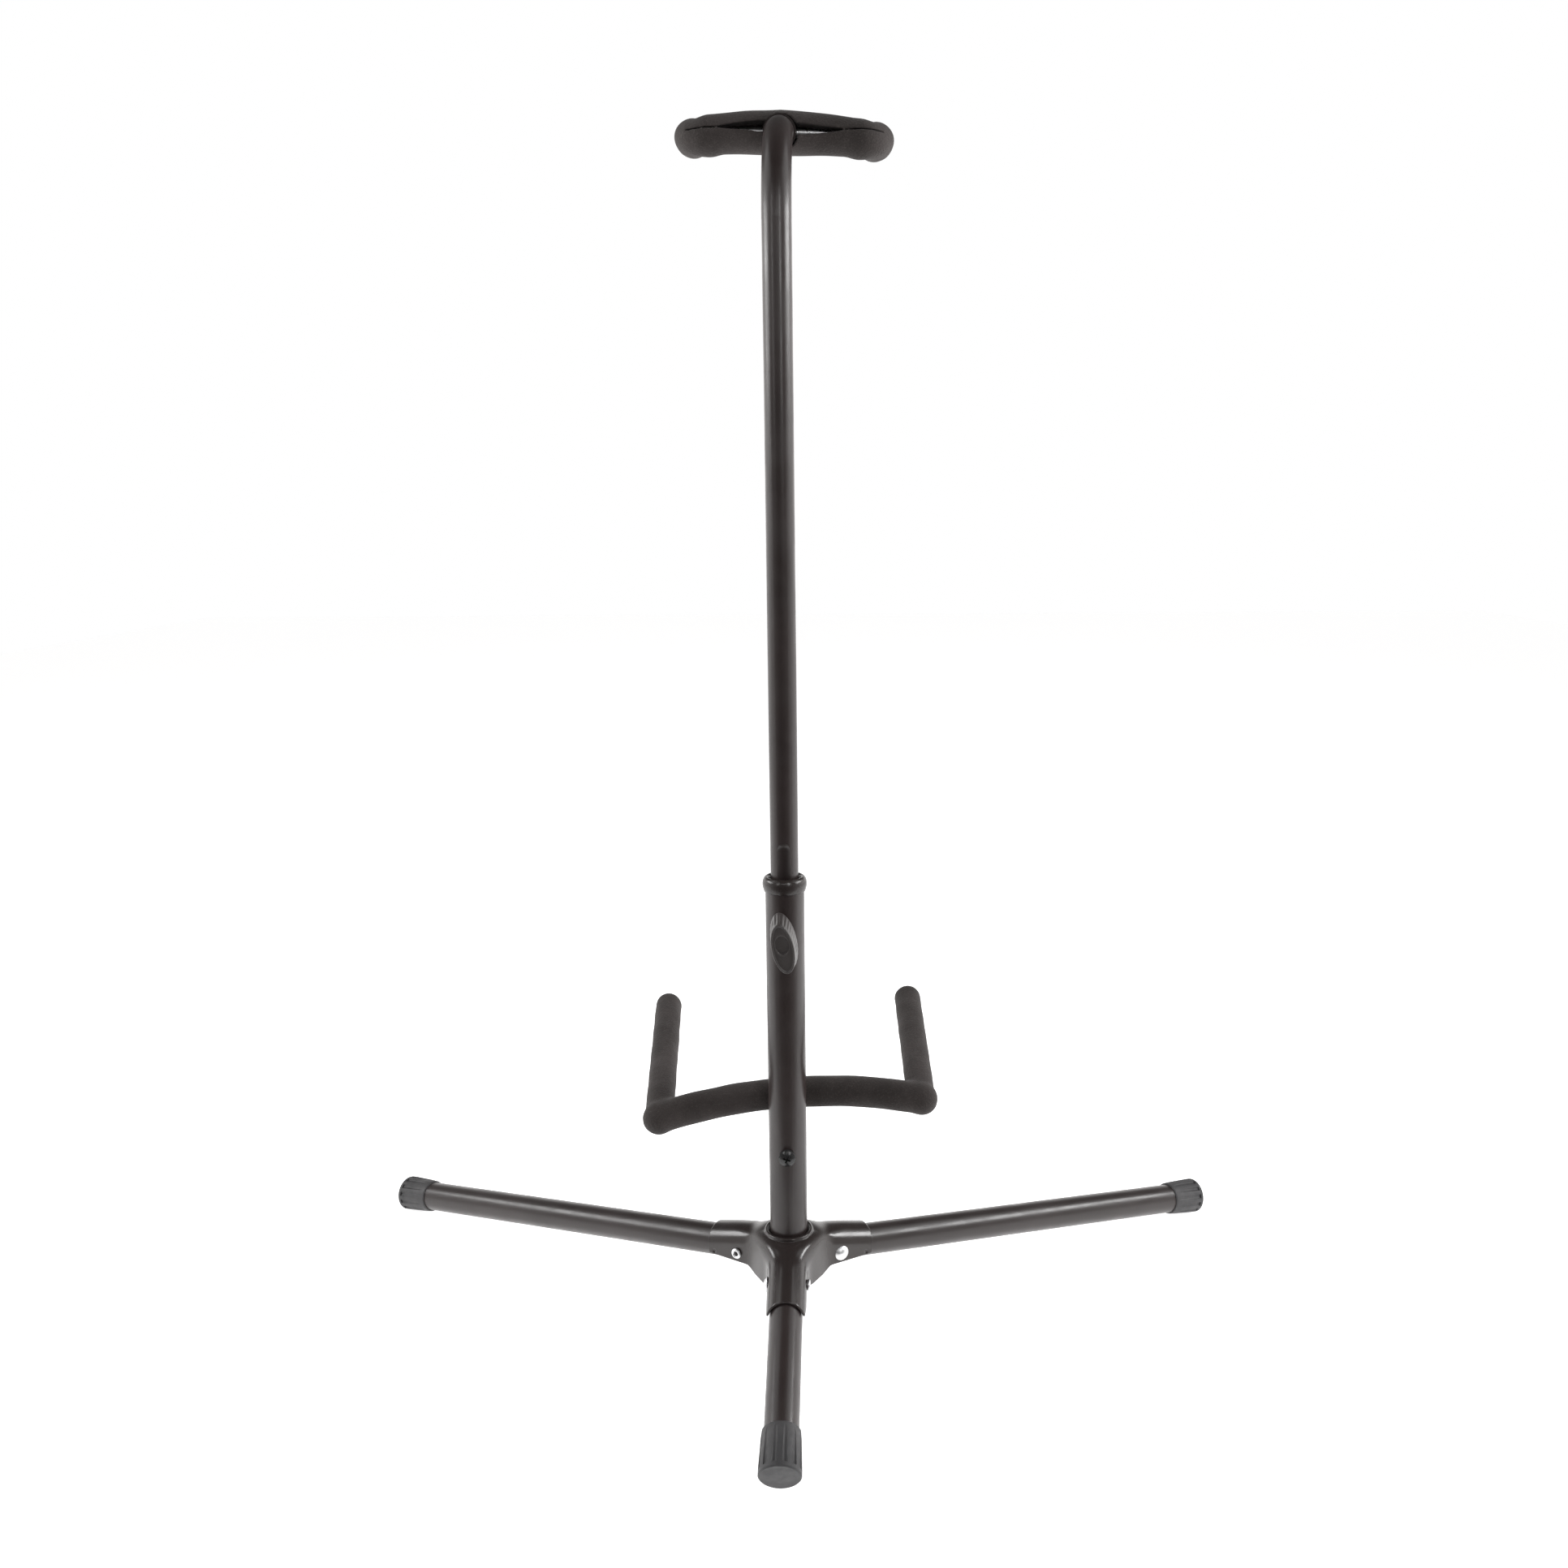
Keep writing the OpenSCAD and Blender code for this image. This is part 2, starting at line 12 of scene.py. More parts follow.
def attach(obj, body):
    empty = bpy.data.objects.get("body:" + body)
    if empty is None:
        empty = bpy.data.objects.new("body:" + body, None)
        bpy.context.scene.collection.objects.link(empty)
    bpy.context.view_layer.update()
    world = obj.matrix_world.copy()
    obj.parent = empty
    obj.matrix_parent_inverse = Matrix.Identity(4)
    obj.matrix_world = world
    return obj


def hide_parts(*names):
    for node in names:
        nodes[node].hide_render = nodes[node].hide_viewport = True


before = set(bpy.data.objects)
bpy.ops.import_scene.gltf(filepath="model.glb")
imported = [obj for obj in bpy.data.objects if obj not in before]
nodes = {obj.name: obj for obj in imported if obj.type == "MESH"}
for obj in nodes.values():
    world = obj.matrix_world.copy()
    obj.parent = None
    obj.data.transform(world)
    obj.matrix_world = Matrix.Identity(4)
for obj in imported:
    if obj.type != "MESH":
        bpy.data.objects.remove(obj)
scene = bpy.context.scene
MM = 0.001


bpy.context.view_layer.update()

# ---------------------------------------------------------------- sizes taken from the CAD
POST_R = 11.1
POST_IN = 9.9
POST_TOP = 288.5
COLLAR_TOP, COLLAR_LOW = 293.4, 284.9
COLLAR_BORE = 7.98       # clears the sliding neck tube
PIVOT_R = 30.0
PIVOT_Z = 56.0
ARM_REACH = 53.0
ARM_OUT = 11.6          # outside half width of a hub arm
SHEET = 1.4
SIDE_SLOPE = math.radians(8.7)
REAR_SLOPE = math.radians(23.9)
CROWN_SLOPE = math.radians(15)
CORE_R = 20.3            # round middle of the hub at its lower edge
CORE_Z = 47.6
SKIRT_Z = 50.0
PLATE_Z = 71.6
CORE_DRAFT = 0.05        # how much the wall of the round middle leans in, per unit of height
CORE_SHOULDER = 4.2      # rounding where that wall meets the level top
ARM_BLEND = 8.0          # rounding where arms and middle flow together
RING_R, RING_HALF, BEAD_R, RIM_R = 12.4, 1.25, 14.1, 13.2   # neck ring: wall, lower bead, upper rim
AZ_LEFT, AZ_RIGHT, AZ_REAR = (math.radians(a) for a in (150, 30, -90))

YOKE_HALF, YOKE_REACH, YOKE_BAR = 51.0, 80.0, 5.0
YOKE_TURN, YOKE_ROLL, YOKE_SPLAY, YOKE_SHIFT = 2.7, 1.5, 2.7, 2.4
YOKE_FOAM_R = 10.2
YOKE_DROP = 2.9          # how far the foam sags below the rod at the elbows
SLIT_TILT = math.radians(13)
BOSS_R = 9.25            # room in the foam for the socket
BEND_Z, BEND_R, BEND_ANGLE, NECK_TAIL = 645.5, 54.0, math.radians(80), 7.0
NECK_END = (0,
            BEND_R * (1 - math.cos(BEND_ANGLE)) + NECK_TAIL * math.sin(BEND_ANGLE),
            BEND_Z + BEND_R * math.sin(BEND_ANGLE) + NECK_TAIL * math.cos(BEND_ANGLE))

CRADLE_HALF, CRADLE_BOW, CRADLE_SPLAY = 77.5, 200.0, 1.0
CRADLE_REACH = {"left": 113.0, "right": 101.0}
CRADLE_START = {"left": 10.6, "right": 8.0}
CRADLE_BAR_R, CRADLE_ARM_R = 9.05, 8.45
ROD_R = 3.0

KNOB_Z, KNOB_Y, KNOB_DEPTH, KNOB_REST = 259.6, -15.3, 16.0, 11.0


def move(x, y, z):
    return Matrix.Translation(Vector((x, y, z)))


def turn(degrees, axis):
    return Matrix.Rotation(math.radians(degrees), 4, axis)


AT_BAR = (move(*NECK_END) @ turn(10, "X") @ move(0, YOKE_BAR, 0)
          @ turn(YOKE_TURN, "Z") @ turn(YOKE_ROLL, "Y") @ move(YOKE_SHIFT, 0, 0))
AT_CRADLE = (turn(2.2, "Z") @ move(1.5, POST_R + 5.9, 154.5) @ turn(-3.6, "Y") @ turn(12.5, "X"))
AT_KNOB = move(0, KNOB_Y, KNOB_Z) @ turn(-KNOB_REST, "Y") @ turn(90, "X")


# ---------------------------------------------------------------- distance fields
def smooth_union(a, b, k):
    h = np.maximum(k - np.abs(a - b), 0) / k
    return np.minimum(a, b) - h * h * k / 4


def smooth_cut(a, b, k):
    """Intersection of two fields with a rounded edge."""
    return -smooth_union(-a, -b, k)


def capsule(x, y, z, a, b, r):
    """Distance to a round-ended bar from point a to point b."""
    a, b = np.array(a, float), np.array(b, float)
    d = b - a
    t = ((x - a[0]) * d[0] + (y - a[1]) * d[1] + (z - a[2]) * d[2]) / d.dot(d)
    t = np.clip(t, 0, 1)
    return np.sqrt((x - a[0] - t * d[0]) ** 2 + (y - a[1] - t * d[1]) ** 2
                   + (z - a[2] - t * d[2]) ** 2) - r


def grid(low, high, step):
    axes = [np.arange(lo, hi + step, step) for lo, hi in zip(low, high)]
    x, y, z = np.meshgrid(*axes, indexing="ij", sparse=True)
    return x, y, z


def surface(field, low, step):
    """Smooth closed mesh of the field's zero surface: one vertex a cell, one quad a crossed edge."""
    inside = field < 0
    shape = np.array(field.shape) - 1
    total = np.zeros((*shape, 3))
    count = np.zeros(shape)
    for axis in range(3):
        others = [a for a in range(3) if a != axis]
        for first in (0, 1):
            for second in (0, 1):
                start = [0, 0, 0]
                start[others[0]], start[others[1]] = first, second
                near = tuple(slice(s, s + n) for s, n in zip(start, shape))
                start[axis] = 1
                far = tuple(slice(s, s + n) for s, n in zip(start, shape))
                crossed = inside[near] != inside[far]
                a, b = field[near][crossed], field[far][crossed]
                point = np.zeros((len(a), 3))
                point[:, axis] = a / (a - b)
                point[:, others[0]], point[:, others[1]] = first, second
                total[crossed] += point
                count[crossed] += 1
    cells = np.argwhere(count > 0)
    index = np.full(shape, -1)
    index[tuple(cells.T)] = np.arange(len(cells))
    verts = (cells + total[tuple(cells.T)] / count[tuple(cells.T)][:, None]) * step + np.array(low)
    quads = []
    for axis in range(3):
        j, k = (axis + 1) % 3, (axis + 2) % 3
        near = [slice(1, n) for n in shape]
        near[axis] = slice(0, shape[axis])
        far = list(near)
        far[axis] = slice(1, shape[axis] + 1)
        leaving = inside[tuple(near)] & ~inside[tuple(far)]
        entering = ~inside[tuple(near)] & inside[tuple(far)]
        for mask, order in ((leaving, 1), (entering, -1)):
            at = np.argwhere(mask)
            at[:, j] += 1
            at[:, k] += 1
            loop = []
            for dj, dk in ((-1, -1), (0, -1), (0, 0), (-1, 0))[::order]:
                c = at.copy()
                c[:, j] += dj
                c[:, k] += dk
                loop.append(index[tuple(c.T)])
            quads.append(np.stack(loop, axis=1))
    return verts, np.vstack(quads)


def add_mesh(name, verts, faces, place=None, mat=None):
    """An object from vertices in millimetres, placed by a matrix in millimetres."""
    v = np.asarray(verts, float)
    if place is not None:
        m = np.array(place)
        v = v @ m[:3, :3].T + m[:3, 3]
    mesh = bpy.data.meshes.new(name)
    mesh.from_pydata((v * MM).tolist(), [], [tuple(f) for f in np.asarray(faces).tolist()]
                     if isinstance(faces, np.ndarray) else faces)
    mesh.validate()
    mesh.polygons.foreach_set("use_smooth", [True] * len(mesh.polygons))
    obj = bpy.data.objects.new(name, mesh)
    scene.collection.objects.link(obj)
    if mat is not None:
        mesh.materials.append(mat)
    return obj


# ---------------------------------------------------------------- material parts
def new_material(name):
    mat = bpy.data.materials.new(name)
    mat.use_nodes = True
    nt = mat.node_tree
    return mat, nt, nt.nodes["Principled BSDF"]


def noise(nt, scale, detail=4.0, rough=0.55, coord=None):
    node = nt.nodes.new("ShaderNodeTexNoise")
    node.inputs["Scale"].default_value = scale
    node.inputs["Detail"].default_value = detail
    node.inputs["Roughness"].default_value = rough
    if coord is not None:
        nt.links.new(coord, node.inputs["Vector"])
    return node.outputs["Fac"]


def ramp(nt, fac, low, high, a=0.35, b=0.65):
    node = nt.nodes.new("ShaderNodeMapRange")
    node.interpolation_type = "SMOOTHSTEP"
    node.inputs["From Min"].default_value = a
    node.inputs["From Max"].default_value = b
    node.inputs["To Min"].default_value = low
    node.inputs["To Max"].default_value = high
    nt.links.new(fac, node.inputs["Value"])
    return node.outputs["Result"]


def mix_color(nt, fac, a, b):
    node = nt.nodes.new("ShaderNodeMix")
    node.data_type = "RGBA"
    node.inputs["A"].default_value = (*a, 1)
    node.inputs["B"].default_value = (*b, 1)
    nt.links.new(fac, node.inputs["Factor"])
    return node.outputs["Result"]


def bump(nt, shader, height, strength, distance, chain=None):
    node = nt.nodes.new("ShaderNodeBump")
    node.inputs["Strength"].default_value = strength
    node.inputs["Distance"].default_value = distance
    nt.links.new(height, node.inputs["Height"])
    if chain is not None:
        nt.links.new(chain, node.inputs["Normal"])
    nt.links.new(node.outputs["Normal"], shader.inputs["Normal"])
    return node.outputs["Normal"]


def object_coord(nt):
    return nt.nodes.new("ShaderNodeTexCoord").outputs["Object"]


def powder_coat(name, dark, light, rough=(0.30, 0.40), peel_depth=0.10):
    """Semi-gloss black paint: fine orange peel, faint clouding and a few dust nibs."""
    mat, nt, sh = new_material(name)
    co = object_coord(nt)
    cloud = noise(nt, 14, 3, 0.5, co)
    nt.links.new(mix_color(nt, ramp(nt, cloud, 0, 1), dark, light), sh.inputs["Base Color"])
    nt.links.new(ramp(nt, noise(nt, 60, 5, 0.6, co), *rough), sh.inputs["Roughness"])
    peel = bump(nt, sh, noise(nt, 900, 2, 0.5, co), peel_depth, 0.0004)
    nibs = ramp(nt, noise(nt, 260, 2, 0.5, co), 0, 1, 0.70, 0.78)
    bump(nt, sh, nibs, 0.05, 0.0003, peel)
    sh.inputs["Specular IOR Level"].default_value = 0.5
    sh.inputs["Coat Weight"].default_value = 0.15
    sh.inputs["Coat Roughness"].default_value = 0.2
    return mat


def steel(name, color, rough=(0.2, 0.34)):
    mat, nt, sh = new_material(name)
    co = object_coord(nt)
    tone = ramp(nt, noise(nt, 220, 4, 0.6, co), 0, 1)
    nt.links.new(mix_color(nt, tone, tuple(c * 0.8 for c in color), color), sh.inputs["Base Color"])
    sh.inputs["Metallic"].default_value = 1.0
    nt.links.new(ramp(nt, noise(nt, 400, 4, 0.6, co), *rough), sh.inputs["Roughness"])
    bump(nt, sh, noise(nt, 900, 3, 0.6, co), 0.15, 0.0003)
    return mat


def plastic(name, dark, light, rough, grain=1200, depth=0.12):
    mat, nt, sh = new_material(name)
    co = object_coord(nt)
    cloud = ramp(nt, noise(nt, 40, 4, 0.6, co), 0, 1)
    nt.links.new(mix_color(nt, cloud, dark, light), sh.inputs["Base Color"])
    nt.links.new(ramp(nt, noise(nt, 150, 4, 0.6, co), *rough), sh.inputs["Roughness"])
    bump(nt, sh, noise(nt, grain, 3, 0.6, co), depth, 0.0003)
    return mat


def foam(name):
    """Closed-cell foam: matte charcoal, mottled, with fine open pores on the skin."""
    mat, nt, sh = new_material(name)
    co = object_coord(nt)
    cloud = ramp(nt, noise(nt, 30, 5, 0.62, co), 0, 1)
    base = mix_color(nt, cloud, (0.034, 0.028, 0.026), (0.054, 0.045, 0.043))
    speck = nt.nodes.new("ShaderNodeMix")
    speck.data_type = "RGBA"
    speck.inputs["B"].default_value = (0.082, 0.070, 0.066, 1)
    nt.links.new(ramp(nt, noise(nt, 1000, 3, 0.6, co), 0, 0.35, 0.52, 0.66), speck.inputs["Factor"])
    nt.links.new(base, speck.inputs["A"])
    nt.links.new(speck.outputs["Result"], sh.inputs["Base Color"])
    sh.inputs["Roughness"].default_value = 0.85
    sh.inputs["Specular IOR Level"].default_value = 0.3
    sh.inputs["Sheen Weight"].default_value = 0.10
    sh.inputs["Sheen Roughness"].default_value = 0.5
    cells = nt.nodes.new("ShaderNodeTexVoronoi")
    cells.inputs["Scale"].default_value = 1300
    nt.links.new(co, cells.inputs["Vector"])
    pores = bump(nt, sh, cells.outputs["Distance"], 0.45, 0.0004)
    bump(nt, sh, noise(nt, 110, 4, 0.6, co), 0.35, 0.0012, pores)
    return mat


coat = powder_coat("powder_coat", (0.026, 0.019, 0.018), (0.034, 0.025, 0.024))
coat_hub = powder_coat("powder_coat_hub", (0.026, 0.020, 0.019), (0.034, 0.027, 0.025),
                       (0.20, 0.27), 0.05)
bright = steel("bright_steel", (0.86, 0.86, 0.87), (0.34, 0.46))
rod_mat = steel("satin_rod", (0.80, 0.80, 0.80), (0.26, 0.36))
zinc = steel("zinc_steel", (0.55, 0.55, 0.56), (0.3, 0.5))
rubber = plastic("foot_rubber", (0.046, 0.045, 0.047), (0.066, 0.064, 0.066), (0.5, 0.65), 700, 0.2)
collar_mat = plastic("collar_plastic", (0.024, 0.018, 0.017), (0.032, 0.025, 0.023),
                     (0.22, 0.30), 1500, 0.04)
knob_mat = plastic("knob_plastic", (0.046, 0.040, 0.039), (0.062, 0.055, 0.053), (0.36, 0.48), 900, 0.15)
screw_mat = plastic("black_screw", (0.012, 0.012, 0.012), (0.02, 0.02, 0.02), (0.2, 0.35), 800, 0.2)
foam_mat = foam("foam")

LOOKS = {
    coat_hub: ("hub", "cradle_plate", "yoke_socket", "lock_nut"),
    coat: ("leg_left", "leg_right", "leg_rear", "lower_post", "neck_tube", "cradle_rod"),
    rod_mat: ("yoke_rod",),
    bright: ("pivot_rivet_left", "pivot_rivet_right", "pivot_rivet_rear"),
    rubber: ("foot_left", "foot_right", "foot_rear"),
    collar_mat: ("post_collar",),
    screw_mat: ("cradle_screw",),
    zinc: ("cradle_nut", "lock_stud"),
    knob_mat: ("knob_grip", "knob_cap"),
    foam_mat: ("yoke_foam", "cradle_foam_left", "cradle_foam_right"),
}
for mat, names in LOOKS.items():
    for name in names:
        nodes[name].data.materials.clear()
        nodes[name].data.materials.append(mat)


# ---------------------------------------------------------------- pressed hub
def hub_body(x, y, z):
    """Outside of the hub as one blended solid, before it is hollowed to a sheet."""
    # round middle: slightly drafted wall, rounded shoulder, level top
    side = np.sqrt(x * x + y * y) - CORE_R + (z - CORE_Z) * CORE_DRAFT + CORE_SHOULDER
    top = z - PLATE_Z + CORE_SHOULDER
    body = (np.sqrt(np.maximum(side, 0) ** 2 + np.maximum(top, 0) ** 2)
            + np.minimum(np.maximum(side, top), 0) - CORE_SHOULDER)
    front_z = (PIVOT_Z - (ARM_REACH - PIVOT_R) * math.tan(SIDE_SLOPE) + 0.4
               + ARM_REACH * math.tan(CROWN_SLOPE))
    rear_z = PIVOT_Z + 0.6 + PIVOT_R * math.tan(REAR_SLOPE)
    for az, slope, z0 in ((AZ_LEFT, CROWN_SLOPE, front_z), (AZ_RIGHT, CROWN_SLOPE, front_z),
                          (AZ_REAR, REAR_SLOPE, rear_z)):
        along = x * math.cos(az) + y * math.sin(az)
        across = -x * math.sin(az) + y * math.cos(az)
        up = (z - z0) * math.cos(slope) + along * math.sin(slope)
        arm = np.sqrt(across ** 2 + np.maximum(up, 0) ** 2) - ARM_OUT
        arm = smooth_cut(arm, 6.0 - along, 3.0)
        arm = smooth_cut(arm, z - PLATE_Z, 4.0)
        body = smooth_union(body, arm, ARM_BLEND)
    return body


def hub_field(x, y, z):
    body = hub_body(x, y, z)
    sheet = np.maximum(body, -(body + SHEET))
    r = np.sqrt(x * x + y * y)
    # flared ring round the foot of the post, with a bead below its rim
    above = z - PLATE_Z
    ring = np.maximum(np.abs(r - RING_R) - RING_HALF, np.abs(above - 0.4) - 2.8)
    bead = np.sqrt((r - BEAD_R) ** 2 + (above - 0.3) ** 2) - 1.2
    rim = np.sqrt((r - RIM_R) ** 2 + (above - 3.2) ** 2) - 1.15
    sheet = smooth_union(sheet, ring, 1.5)
    sheet = smooth_union(smooth_union(sheet, bead, 1.2), rim, 0.4)
    sheet = np.maximum(sheet, POST_R + 0.02 - r)
    # lower edge of the skirt, which dips round the middle, and the open ends of the arms
    edge = SKIRT_Z + (CORE_Z - SKIRT_Z) * np.clip((25.0 - r) / 4.0, 0, 1)
    sheet = smooth_cut(sheet, edge - z, 0.6)
    for az, slope in ((AZ_LEFT, SIDE_SLOPE), (AZ_RIGHT, SIDE_SLOPE), (AZ_REAR, REAR_SLOPE)):
        along = x * math.cos(az) + y * math.sin(az)
        across = -x * math.sin(az) + y * math.cos(az)
        sheet = smooth_cut(sheet, along - ARM_REACH, 0.6)
        # a small pressed dimple low on each side of the arm
        dx = (along - PIVOT_R) * math.cos(slope) - (z - PIVOT_Z) * math.sin(slope) - 17.5
        dz = (along - PIVOT_R) * math.sin(slope) + (z - PIVOT_Z) * math.cos(slope) + 1.2
        for side in (-1, 1):
            dent = np.sqrt(dx ** 2 + (across - side * (ARM_OUT + 0.9)) ** 2 + dz ** 2) - 1.6
            sheet = smooth_cut(sheet, -dent, 0.4)
    return sheet


HUB_STEP = 0.5
hub_low = (-50.0, -55.0, CORE_Z - 2)
hub_high = (50.0, 33.0, PLATE_Z + 7)
verts, quads = surface(hub_field(*grid(hub_low, hub_high, HUB_STEP)), hub_low, HUB_STEP)
hub = add_mesh("hub_pressed_sheet", verts, quads, mat=coat_hub)
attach(hub, "base")
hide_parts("hub")


# ---------------------------------------------------------------- foam sleeves
def waviness(x, y, z, size):
    """Slow hand-made unevenness of a foam skin."""
    return size * (np.sin(x * 0.21 + 1.3 * np.sin(y * 0.13)) * np.cos(z * 0.37 + x * 0.05)
                   + 0.6 * np.sin(y * 0.29 + x * 0.11 + 2.0))


def yoke_foam_field(x, y, z):
    lean = math.tan(math.radians(YOKE_SPLAY))
    foam_r = YOKE_FOAM_R + 0.05
    bend = 9.0
    far = np.minimum(np.abs(x + YOKE_SHIFT) / 40.0, 1.3)
    fuller = 1.5 - 1.9 * far
    sag = 1.5 * far ** 2
    straight = YOKE_HALF - bend
    skin = capsule(x, y, z + sag, (-straight, 0, 0), (straight, 0, 0), foam_r) - fuller
    reach = YOKE_REACH - YOKE_BAR - YOKE_FOAM_R
    side_x = np.abs(x)
    around = np.arctan2(side_x - straight, bend - y)
    held = np.clip(around, 0, math.pi / 2)
    elbow = np.sqrt((side_x - straight - bend * np.sin(held)) ** 2 + (y - bend + bend * np.cos(held)) ** 2
                    + (z + YOKE_DROP) ** 2) - foam_r + 0.7
    tip = (YOKE_HALF + (reach - bend) * lean, reach, -0.9)
    arm = capsule(side_x, y, z, (YOKE_HALF, bend, -YOKE_DROP), tip, foam_r - 0.5)
    skin = smooth_union(smooth_union(skin, elbow, 3.0), arm, 1.5)
    skin = skin + waviness(x, y, z, 0.16)
    # the slit the sleeve was fitted through, on the side that faces away from the guitar
    out = -y * math.cos(SLIT_TILT) + z * math.sin(SLIT_TILT)
    gap = z * math.cos(SLIT_TILT) + y * math.sin(SLIT_TILT) + 0.6 * np.sin(x * 0.09)
    beside = np.abs(x + YOKE_SHIFT)
    opening = 2.5 * np.clip((34 - beside) / 22, 0, 1) ** 0.8 + 0.33
    slit = np.maximum(np.abs(gap) - opening, 2.0 - out)
    slit = np.maximum(slit, np.abs(x) - 54)
    skin = smooth_cut(skin, -slit, 0.6)
    # the rod and the boss inside
    bore = capsule(x, y, z, (-YOKE_HALF + 8, 0, 0), (YOKE_HALF - 8, 0, 0), ROD_R + 0.15)
    boss_x = x + YOKE_SHIFT
    boss = np.maximum(np.sqrt((boss_x + y * lean) ** 2 + z * z) - BOSS_R, y - 5.0)
    return np.maximum(np.maximum(skin, -bore), -boss)


def cradle_foam_field(x, y, z, side):
    """One sleeve in the cradle's frame, on the left (side -1) or the right (side 1)."""
    name = "left" if side < 0 else "right"
    px = x * side
    centre_y = -CRADLE_BOW
    ang = np.arctan2(px, y - centre_y)
    start, end = math.asin(CRADLE_START[name] / CRADLE_BOW), math.asin(CRADLE_HALF / CRADLE_BOW)
    held = np.clip(ang, start, end)
    bx, by = CRADLE_BOW * np.sin(held), centre_y + CRADLE_BOW * np.cos(held)
    flat = np.sqrt((px - bx) ** 2 + (y - by) ** 2 + z * z) - CRADLE_BAR_R
    cut = (start - ang) * CRADLE_BOW
    bar = smooth_cut(flat, cut, 1.2)
    corner_y = CRADLE_BOW * (math.cos(end) - 1)
    reach = CRADLE_REACH[name] - corner_y - CRADLE_ARM_R
    lean = math.tan(math.radians(CRADLE_SPLAY))
    tip = (CRADLE_HALF + reach * lean, corner_y + reach, 0)
    arm = capsule(px, y, z, (CRADLE_HALF, corner_y, 0), tip, CRADLE_ARM_R)
    ball = np.sqrt((px - CRADLE_HALF) ** 2 + (y - corner_y) ** 2 + z * z) - CRADLE_BAR_R - 0.05
    skin = smooth_union(smooth_union(bar, arm, 2.5), ball, 1.0)
    skin = skin + waviness(x + 40, y, z, 0.14)
    # room for the rod inside
    bore = np.sqrt((px - CRADLE_BOW * np.sin(ang)) ** 2
                   + (y - centre_y - CRADLE_BOW * np.cos(ang)) ** 2 + z * z)
    bore = np.maximum(bore - ROD_R - 0.15, ang - end * 0.85)
    return np.maximum(skin, -bore)


FOAM_STEP = 0.6
foam_low = (-YOKE_HALF - 18.0, -14.0, -14.0)
foam_high = (YOKE_HALF + 18.0, YOKE_REACH, 14.0)
verts, quads = surface(yoke_foam_field(*grid(foam_low, foam_high, FOAM_STEP)), foam_low, FOAM_STEP)
yoke = add_mesh("yoke_foam_sleeve", verts, quads, AT_BAR, foam_mat)
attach(yoke, "neck")
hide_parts("yoke_foam")

for name, side in (("left", -1), ("right", 1)):
    low = (-CRADLE_HALF - 14.0 if side < 0 else 4.0, -28.0, -12.0)
    high = (-4.0 if side < 0 else CRADLE_HALF + 14.0, CRADLE_REACH[name] + 3, 12.0)
    field = cradle_foam_field(*grid(low, high, FOAM_STEP), side)
    verts, quads = surface(field, low, FOAM_STEP)
    sleeve = add_mesh(f"cradle_foam_sleeve_{name}", verts, quads, AT_CRADLE, foam_mat)
    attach(sleeve, "base")
    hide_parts(f"cradle_foam_{name}")


# ---------------------------------------------------------------- collar in the mouth of the post
def collar_mesh():
    """Turned section: skirt over the post, thick rounded lip, funnel mouth, sleeve inside the post."""
    lip = [math.radians(a) for a in np.linspace(-35, 150, 19)]
    section = [(POST_R + 0.02, COLLAR_LOW), (11.75, COLLAR_LOW + 0.05), (11.95, COLLAR_LOW + 0.5)]
    section += [(10.45 + 2.2 * math.cos(a), COLLAR_TOP - 4.4 + 4.4 * math.sin(a)) for a in lip]
    section += [(COLLAR_BORE, COLLAR_TOP - 5.1), (COLLAR_BORE, COLLAR_TOP - 23.9),
                (POST_IN - 0.03, COLLAR_TOP - 23.9), (POST_IN - 0.03, POST_TOP + 0.02),
                (POST_R + 0.02, POST_TOP + 0.02)]
    around = 120
    t = np.linspace(0, 2 * np.pi, around, endpoint=False)
    verts = np.vstack([np.stack([r * np.cos(t), r * np.sin(t), np.full(around, z)], axis=1)
                       for r, z in section])
    faces = []
    for k in range(len(section)):
        a, b = k * around, (k + 1) % len(section) * around
        for i in range(around):
            n = (i + 1) % around
            faces.append((a + i, a + n, b + n, b + i))
    return verts, faces


verts, faces = collar_mesh()
collar = add_mesh("collar_turned_lip", verts, faces, mat=collar_mat)
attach(collar, "base")
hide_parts("post_collar")


